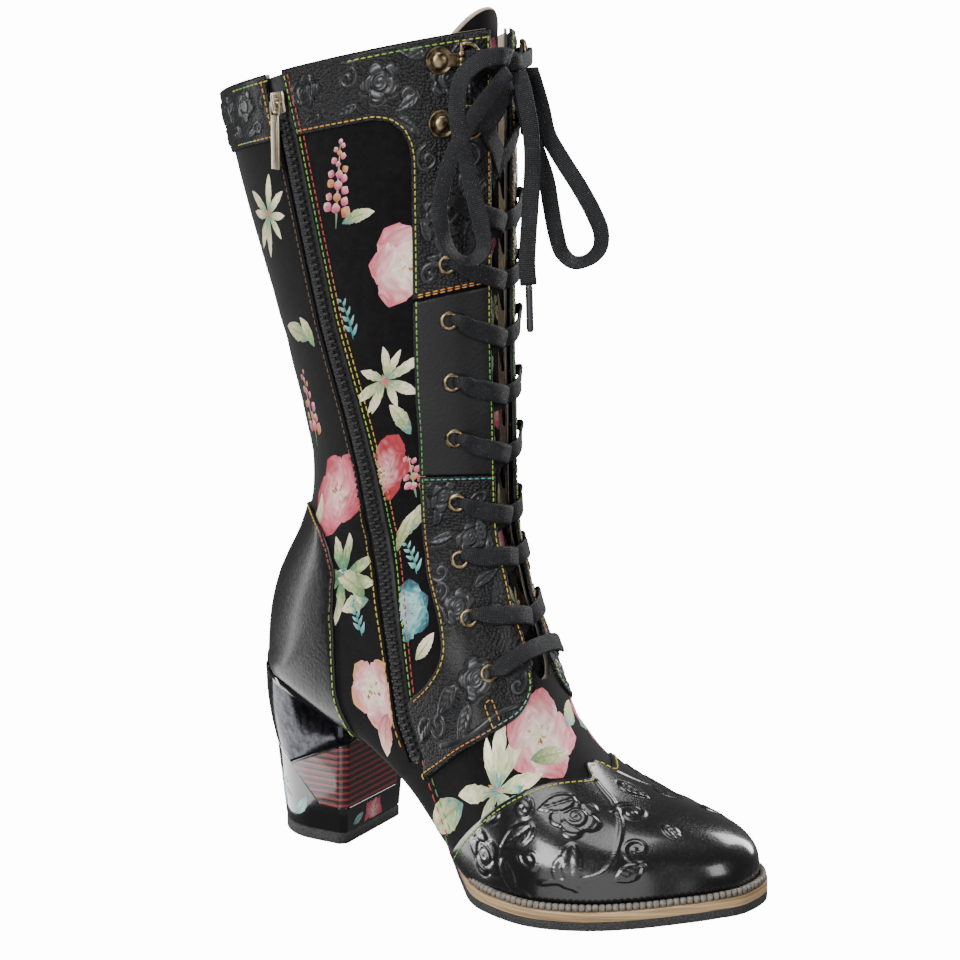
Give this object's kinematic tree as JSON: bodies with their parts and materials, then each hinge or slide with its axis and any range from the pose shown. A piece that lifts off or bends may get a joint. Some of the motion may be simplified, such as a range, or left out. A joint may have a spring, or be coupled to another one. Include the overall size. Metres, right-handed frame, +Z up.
{
  "type": "lace-up boot",
  "caption": "Black lace-up ankle boot with block heel, inner side zip, lace loops, embossed facings and floral fabric, left foot",
  "frame": {"origin": "on the floor under the middle of the heel", "axes": "+Z up, toe towards -Y, inner (medial) side towards -X"},
  "size_m": [0.1004, 0.2584, 0.357],
  "materials": {
    "suede": "matte black suede with a printed floral pattern",
    "embossed": "tooled black leather, semi-gloss",
    "glossy": "glossy black leather",
    "plain": "smooth black leather",
    "lining": "beige lining leather",
    "bead": "ribbed grey welt bead",
    "tan": "tan leather midsole edge",
    "rubber": "rough dark grey rubber",
    "heel": "polished black heel cover",
    "brass": "aged brass",
    "pale": "brushed pale brass",
    "cord": "flat waxed black lace",
    "zip": "black coil zip"
  },
  "bodies": {
    "boot": {"counter": "glossy", "cuff_back": "embossed", "eyelet_lateral_1": "brass", "eyelet_lateral_2": "brass", "eyelet_lateral_3": "brass", "eyelet_lateral_4": "brass", "eyelet_lateral_5": "brass", "eyelet_lateral_6": "brass", "eyelet_lateral_7": "brass", "eyelet_lateral_8": "brass", "eyelet_lateral_9": "brass", "eyelet_medial_1": "brass", "eyelet_medial_2": "brass", "eyelet_medial_3": "brass", "eyelet_medial_4": "brass", "eyelet_medial_5": "brass", "eyelet_medial_6": "brass", "eyelet_medial_7": "brass", "eyelet_medial_8": "brass", "eyelet_medial_9": "brass", "eyestay_lower_lateral": "embossed", "eyestay_lower_medial": "embossed", "eyestay_middle_lateral": "plain", "eyestay_middle_medial": "plain", "eyestay_upper_lateral": "embossed", "eyestay_upper_medial": "embossed", "heel_block": "heel", "heel_top_piece": "rubber", "insole": "lining", "lace_aglet": "zip", "lace_bow_left": "cord", "lace_bow_right": "cord", "lace_crossings": "cord", "lace_end": "cord", "lace_knot": "cord", "lace_loop_lateral_1": "brass", "lace_loop_lateral_2": "brass", "lace_loop_medial_1": "brass", "lace_loop_medial_2": "brass", "midsole": "tan", "outsole": "rubber", "toe_cap": "glossy", "tongue": "lining", "upper": "suede", "welt_bead": "bead", "zip_chain": "zip", "zip_slider": "pale", "zip_tape": "zip"},
    "pull": {"zip_pull": "pale"}
  },
  "joints": [
    {"name": "pull_swing", "type": "hinge", "parent": "boot", "child": "pull", "pos_m": [-0.04663, -0.00981, 0.31989], "axis": [0.0899, 0.996, 0], "range_deg": [0, 150]}
  ]
}
